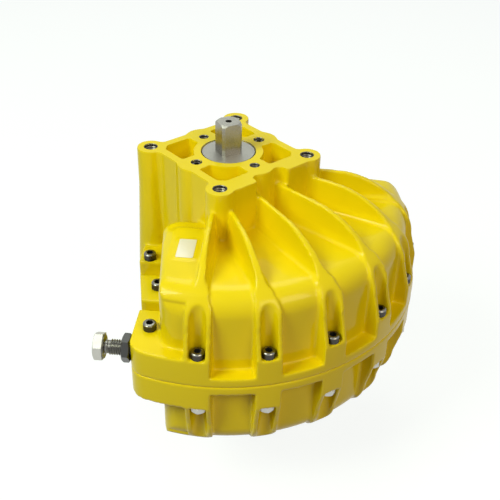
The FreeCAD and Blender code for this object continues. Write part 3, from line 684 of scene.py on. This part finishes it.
def cap_screw():
    """Socket cap screw with a rolled grip, seated under its head on the origin."""
    radius, height, shank = size_of("head_radius"), size_of("head_height"), size_of("screw_radius")
    end, pitch, grip = -size_of("screw_length"), size_of("screw_pitch"), size_of("knurl_depth")
    outline = [(0, end), (shank - 0.8, end)]
    level = end + 0.6
    while level < end + 9:
        outline += [(shank, level), (shank - 0.55, level + pitch / 2)]
        level += pitch
    outline += [(shank, level), (shank, -0.1), (radius - 0.35, 0), (radius, 0.3), (radius, 0.8),
                (radius, height - 1.3), (radius - 0.12, height - 0.75), (radius - 0.4, height - 0.35),
                (radius - 0.8, height - 0.1), (radius - 1.1, height), (0, height)]
    screw = turned("cap_screw", outline, 72)
    screw.data.materials.append(finish_named("stainless_screw"))
    # The side of each head gets the darker grip finish: painted shade
    paint_faces(screw, finish_named("shaded_rolled_grip"), lambda centre, normal: abs(normal.z) < 0.2
                and centre.z > 0 and math.hypot(centre.x, centre.y) > (radius - 0.05) * MM)
    share = 1 - grip / radius

    def in_groove(co):
        side = math.hypot(co.x, co.y)
        step = round(math.degrees(math.atan2(co.y, co.x)) / 5)
        return side > (radius - 0.01) * MM and co.z > 0.5 * MM and step % 2 == 1

    pick_points(screw, in_groove)
    bpy.ops.transform.resize(value=(share, share, 1), center_override=(0, 0, 0))
    done()
    cut(screw, [socket_tool(size_of("socket"), size_of("socket_depth"), height)])
    return screw


def chamfered(name, flats, height, both_ends, finish):
    """Hexagon with its corners turned off at the outer end, or at both."""
    piece = hexagon(name, flats, height)
    corner, edge = flats / math.sqrt(3), flats / 2 * 0.96
    drop = (corner + 0.2 - edge) * math.tan(math.radians(30))
    outline = [(0, 0), (edge, 0), (corner + 0.2, drop)] if both_ends else [(0, 0), (corner + 0.2, 0)]
    outline += [(corner + 0.2, height - drop), (edge, height), (0, height)]
    piece.data.materials.append(finish_named(finish))
    barrel = turned("barrel", outline, 72)
    barrel.data.materials.append(finish_named(finish))
    cut(piece, [barrel], "INTERSECT")
    return piece


def bored(piece, radius, pitch, height):
    """Taps a nut: turns of thread show at both mouths."""
    outline = [(0, -1), (radius + 0.4, -1), (radius + 0.4, 0)]
    level = pitch * 0.4
    while level < height - pitch * 0.5:
        outline += [(radius - 0.25, level), (radius + 0.2, level + pitch / 2)]
        level += pitch
    outline += [(radius + 0.4, height), (radius + 0.4, height + 1), (0, height + 1)]
    tap = turned("tap", outline, 40)
    tap.data.materials.append(finish_named(piece.data.materials[0].name))
    cut(piece, [tap])
    return piece


class ACTUATOR_OT_casing_screws(bpy.types.Operator):
    """Socket cap screws that hold the two housings together"""
    bl_idname = "actuator.casing_screws"
    bl_label = "Casing Screws"

    def execute(self, context):
        screw = cap_screw()
        places = screw_places()
        for name, chosen in (("rim_screws", places[:6]), ("side_screws", places[6:12]),
                             ("rear_screws", places[12:])):
            copies = [duplicate(screw, "screw", at(x, y, TAB_TOP, turn * 1.7)) for x, y, turn in chosen]
            piece = joined(copies, "cap_" + name)
            smooth(piece, 28)
            finish_piece(piece, "casing", [name])
        removed([screw])
        return {"FINISHED"}


class ACTUATOR_OT_casing_nuts(bpy.types.Operator):
    """Hexagon nuts under the tabs of the lower housing"""
    bl_idname = "actuator.casing_nuts"
    bl_label = "Casing Nuts"

    def execute(self, context):
        height = size_of("nut_height")
        nut = chamfered("nut", size_of("nut"), height, True, "zinc_plate")
        bored(nut, size_of("screw_radius"), size_of("screw_pitch"), height)
        places = screw_places()
        for name, chosen in (("rim_nuts", places[:6]), ("side_nuts", places[6:12]),
                             ("rear_nuts", places[12:])):
            copies = [duplicate(nut, "nut", at(x, y, TAB_FOOT - height, turn)) for x, y, turn in chosen]
            piece = joined(copies, "hex_" + name)
            smooth(piece, 28)
            finish_piece(piece, "casing", [name])
        removed([nut])
        return {"FINISHED"}


class ACTUATOR_OT_blanking_screws(bpy.types.Operator):
    """Socket screws that blank two of the small holes in each mounting pad"""
    bl_idname = "actuator.blanking_screws"
    bl_label = "Blanking Screws"

    def execute(self, context):
        radius, reach, sink = size_of("plug_radius"), size_of("plug_length"), size_of("plug_sink")
        outline = [(0, -reach), (radius - 0.8, -reach), (radius, -reach + 0.8), (radius, -0.5),
                   (radius - 0.5, 0), (0, 0)]
        plug = turned("plug", outline, 48)
        plug.data.materials.append(finish_named("stainless_screw"))
        cut(plug, [socket_tool(size_of("plug_socket"), 4.5, 0)])
        for name, flip in (("upper_blank_screws", False), ("lower_blank_screws", True)):
            copies = [duplicate(plug, "plug", at(x, y, PAD - sink, 30))
                      for x, y in small_places(not flip)]
            copies = [lower(twin) for twin in copies] if flip else copies
            piece = joined(copies, "socket_" + name)
            smooth(piece, 28)
            finish_piece(piece, "casing", [name])
        removed([plug])
        return {"FINISHED"}


class ACTUATOR_OT_travel_stops(bpy.types.Operator):
    """Stop screws with helical threads, and their blackened locknuts"""
    bl_idname = "actuator.travel_stops"
    bl_label = "Travel Stops"

    def execute(self, context):
        for side, name in ((-1, "left"), (1, "right")):
            x, y = at_side(STOP_HEAD_AT, STOP_ALONG, side)
            out = (side, 1, 0)
            screw = self.stop_screw("stop_" + name)
            screw.data.transform(facing((x, y, STOP_Z), out, 30))
            smooth(screw, 30)
            finish_piece(screw, "stop_" + name, ["stop_screw_" + name])
            x, y = at_side(STOP_SEAT, STOP_ALONG, side)
            nut = chamfered("locking_nut_" + name, size_of("stop_flats"), size_of("locknut_height"), True,
                            "black_oxide")
            bored(nut, size_of("stop_radius") + 0.1, size_of("stop_pitch"), size_of("locknut_height"))
            nut.data.transform(facing((x, y, STOP_Z), out, 0))
            smooth(nut, 28)
            finish_piece(nut, "casing", ["locknut_" + name])
        return {"FINISHED"}

    def stop_screw(self, name):
        """Hexagon screw along Z, with its washer face on the origin and the thread below it."""
        crest, pitch, reach = size_of("stop_radius"), size_of("stop_pitch"), size_of("stop_thread")
        flats, height = size_of("stop_flats"), size_of("stop_head")
        head = chamfered("head", flats, height - 0.8, False, "zinc_plate")
        head.data.transform(Matrix.Translation((0, 0, 0.8 * MM)))
        washer = turned("washer_face", [(0, 0), (flats / 2 - 0.7, 0), (flats / 2 - 0.5, 0.2),
                                        (flats / 2 - 0.5, 0.85), (0, 0.85)], 64)
        neck = turned("neck", [(0, -2.2), (crest - 0.9, -2.2), (crest - 0.9, -0.6), (crest, 0.01),
                               (0, 0.01)], 48)
        turns = int((reach - 1.6) / pitch)
        thread = helix("thread", crest - 0.95, crest, pitch, turns - 1)
        thread.data.transform(Matrix.Translation((0, 0, -reach * MM)))
        tip = size_of("stop_tip")
        point = turned("tip", [(0, -reach - tip), (1.9, -reach - tip), (2.5, -reach - tip + 0.6),
                               (2.5, -reach), (crest - 0.95, -reach + 0.3), (0, -reach + 0.3)], 40)
        for piece in (washer, neck, thread, point):
            piece.data.materials.clear()
            piece.data.materials.append(finish_named("stainless_screw"))
        return joined([head, washer, neck, thread, point], name)


# Shaft and label

class ACTUATOR_OT_drive_shaft(bpy.types.Operator):
    """Ground shaft with softened edges and a square at each end"""
    bl_idname = "actuator.drive_shaft"
    bl_label = "Drive Shaft"

    def execute(self, context):
        piece = copy_of("shaft", "drive_shaft")
        piece.data.materials.append(finish_named("ground_shaft_steel"))
        apply_modifier(piece, "BEVEL", width=0.3 * MM, segments=3, limit_method="ANGLE",
                       angle_limit=math.radians(25))
        smooth(piece, 35)
        flat_faced(piece)
        paint_faces(piece, finish_named("turned_shaft_end"),
                    lambda centre, normal: abs(normal.z) > 0.6)
        finish_piece(piece, "rotor", ["shaft"])
        return {"FINISHED"}


class ACTUATOR_OT_label_plate(bpy.types.Operator):
    """Bare label plate on the pad of the left end bay"""
    bl_idname = "actuator.label_plate"
    bl_label = "Label Plate"

    width, reach, thickness = 12.7, 24.0, 0.35

    def execute(self, context):
        deselect()
        bpy.ops.mesh.primitive_cube_add(size=1, location=(0, 0, 0))
        plate = bpy.context.object
        plate.name = "label_plate"
        plate.scale = (self.width * MM, self.reach * MM, self.thickness * MM)
        bpy.ops.object.transform_apply(location=True, rotation=True, scale=True)
        edit(plate)
        bpy.ops.mesh.select_mode(type="EDGE")
        bpy.ops.mesh.select_all(action="DESELECT")
        done()
        for edge in plate.data.edges:
            ends = [plate.data.vertices[k].co for k in edge.vertices]
            edge.select = abs(ends[0].z - ends[1].z) > 0.1 * MM
        bpy.ops.object.mode_set(mode="EDIT")
        bpy.ops.mesh.bevel(offset=0.9 * MM, segments=5)
        done()
        apply_modifier(plate, "BEVEL", width=0.08 * MM, segments=2, limit_method="ANGLE",
                       angle_limit=math.radians(60))
        x, y = at_side(LABEL_OUT, LABEL_ALONG)
        plate.data.transform(at(x, y, LABEL_Z + self.thickness / 2, -45))
        smooth(plate, 30)
        finish_piece(plate, "casing", [], [finish_named("label_film")])
        return {"FINISHED"}


class ACTUATOR_OT_finishes(bpy.types.Operator):
    """Gives each CAD node that stays its finish"""
    bl_idname = "actuator.finishes"
    bl_label = "Finishes"

    finishes = {
        "casing_seal": "seal_rubber", "upper_bush": "oiled_bronze", "lower_bush": "oiled_bronze",
        "upper_shaft_seal": "seal_rubber", "lower_shaft_seal": "seal_rubber",
        "upper_blank_screws": "stainless_screw", "lower_blank_screws": "stainless_screw",
        "rim_screws": "stainless_screw", "rim_nuts": "zinc_plate", "side_screws": "stainless_screw",
        "side_nuts": "zinc_plate", "rear_screws": "stainless_screw", "rear_nuts": "zinc_plate",
        "stop_screw_left": "stainless_screw", "stop_screw_right": "stainless_screw",
        "locknut_left": "black_oxide", "locknut_right": "black_oxide", "shaft": "ground_shaft_steel",
        "vane": "cast_vane_alloy", "vane_key": "bright_key_steel", "lip_seal_left": "seal_rubber",
        "lip_seal_right": "seal_rubber", "expander_left": "rolled_sheet_steel",
        "expander_right": "rolled_sheet_steel", "side_plate_left": "rolled_sheet_steel",
        "side_plate_right": "rolled_sheet_steel", "vane_rivets": "rolled_sheet_steel",
    }

    def execute(self, context):
        for node, finish in self.finishes.items():
            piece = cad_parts[node]
            if piece.hide_render:
                continue
            for place in piece.material_slots:
                place.material = finish_named(finish)
        return {"FINISHED"}


# Studio

FLOOR = -0.030
LAMPS = (
    # Name, place and width in metres, power in watts, tone
    ("key_light", (-1.18, 0.07, 1.27), 0.7, 20.5, (0.92, 1.0, 0.82)),
    ("fill_light", (-0.1, -1.5, 1.2), 0.8, 12.5, (1.0, 0.87, 0.62)),
    ("top_light", (0.5, 0.6, 1.6), 0.9, 8.5, (0.91, 1.0, 0.86)),
)
LAMP_AIM = (0.0, -0.04, 0.1)
CAMERA_PLACE = (-0.380, -0.4639, 0.517)
CAMERA_LOOK = (0.5495, 0.62923, -0.54966)
CAMERA_ROLL = 1.284


class ACTUATOR_OT_studio(bpy.types.Operator):
    """Pale floor, soft lights, and a camera at the photograph's angle"""
    bl_idname = "actuator.studio"
    bl_label = "Studio"

    def execute(self, context):
        group = context.scene.actuator_studio
        self.floor(group)
        self.lamps()
        self.camera(group)
        context.scene.view_settings.view_transform = "Standard"
        return {"FINISHED"}

    def floor(self, group):
        bpy.ops.object.select_all(action="DESELECT")
        bpy.ops.mesh.primitive_plane_add(size=12.0, location=(0, 0, FLOOR))
        floor = bpy.context.object
        floor.name = "floor"
        tone = tuple(group.backdrop)
        # Pale paper: nearly white with a faint shadow to the camera and in gloss, and darker to
        # soft light, so that the undersides are not lit from below
        made = material("pale_backdrop")
        matt = add_node(made, "ShaderNodeBsdfDiffuse", {"Color": linear("#6E6450")})
        glow = add_node(made, "ShaderNodeEmission", {"Color": tone, "Strength": 0.9})
        lit = add_node(made, "ShaderNodeBsdfDiffuse", {"Color": linear("#787878")})
        pale = add_node(made, "ShaderNodeAddShader", {0: glow.outputs[0], 1: lit.outputs[0]})
        both = add_node(made, "ShaderNodeMixShader", {0: self.seen(made), 1: matt.outputs[0],
                                                      2: pale.outputs[0]})
        add_node(made, "ShaderNodeOutputMaterial", {"Surface": both.outputs[0]})
        floor.data.materials.append(made)
        world = bpy.context.scene.world or bpy.data.worlds.new("studio")
        bpy.context.scene.world = world
        world.use_nodes = True
        world.node_tree.nodes.clear()
        back = add_node(world, "ShaderNodeBackground", {"Color": tone, "Strength": 0.09})
        sky = add_node(world, "ShaderNodeBackground", {"Color": tone, "Strength": 1.0})
        mix = add_node(world, "ShaderNodeMixShader", {0: self.seen(world), 1: back.outputs[0],
                                                      2: sky.outputs[0]})
        add_node(world, "ShaderNodeOutputWorld", {"Surface": mix.outputs[0]})

    def seen(self, made):
        """Tells rays that show the backdrop, straight or in gloss or glass, from those that light."""
        path = add_node(made, "ShaderNodeLightPath")
        straight = add_node(made, "ShaderNodeMath", {0: path.outputs["Is Camera Ray"],
                                                     1: path.outputs["Is Glossy Ray"]},
                            operation="MAXIMUM")
        return add_node(made, "ShaderNodeMath", {0: straight.outputs[0],
                                                 1: path.outputs["Is Transmission Ray"]},
                        operation="MAXIMUM").outputs[0]

    def lamps(self):
        for row in LAMPS:
            self.lamp(*row)

    def lamp(self, name, place, size, power, tone):
        light = bpy.data.lights.new(name, "AREA")
        light.size = size
        light.energy = power
        light.color = tone
        piece = bpy.data.objects.new(name, light)
        bpy.context.scene.collection.objects.link(piece)
        piece.location = place
        aim = Vector(LAMP_AIM) - Vector(place)
        piece.rotation_euler = aim.to_track_quat("-Z", "Y").to_euler()

    def camera(self, group):
        data = bpy.data.cameras.new("photo_camera")
        piece = bpy.data.objects.new("photo_camera", data)
        bpy.context.scene.collection.objects.link(piece)
        data.lens = group.lens
        data.clip_end = 50.0
        roll = Matrix.Rotation(math.radians(CAMERA_ROLL), 3, "Z").to_quaternion()
        piece.rotation_mode = "QUATERNION"
        piece.rotation_quaternion = Vector(CAMERA_LOOK).normalized().to_track_quat("-Z", "Y") @ roll
        piece.location = CAMERA_PLACE
        bpy.context.scene.camera = piece


class ACTUATOR_PT_sidebar(bpy.types.Panel):
    """Lists the actuator's pieces in the sidebar"""
    bl_label = "Pneumatic Actuator"
    bl_idname = "ACTUATOR_PT_sidebar"
    bl_space_type = "VIEW_3D"
    bl_region_type = "UI"
    bl_category = "Actuator"

    def draw(self, context):
        for step in steps:
            self.layout.operator(step.bl_idname)


steps = (
    ACTUATOR_OT_upper_housing,
    ACTUATOR_OT_lower_housing,
    ACTUATOR_OT_casing_screws,
    ACTUATOR_OT_casing_nuts,
    ACTUATOR_OT_blanking_screws,
    ACTUATOR_OT_travel_stops,
    ACTUATOR_OT_drive_shaft,
    ACTUATOR_OT_label_plate,
    ACTUATOR_OT_finishes,
    ACTUATOR_OT_studio,
)
groups = {"actuator_casting": ActuatorCasting, "actuator_fasteners": ActuatorFasteners,
          "actuator_studio": ActuatorStudio}


def register():
    for kind in (*groups.values(), *steps, ACTUATOR_PT_sidebar):
        bpy.utils.register_class(kind)
    for name, kind in groups.items():
        setattr(bpy.types.Scene, name, bpy.props.PointerProperty(type=kind))


def unregister():
    for name in groups:
        delattr(bpy.types.Scene, name)
    for kind in reversed((*groups.values(), *steps, ACTUATOR_PT_sidebar)):
        bpy.utils.unregister_class(kind)


def main():
    register()
    deselect()
    for step in steps:
        family, action = step.bl_idname.split(".")
        getattr(getattr(bpy.ops, family), action)()


if __name__ == "__main__":
    main()
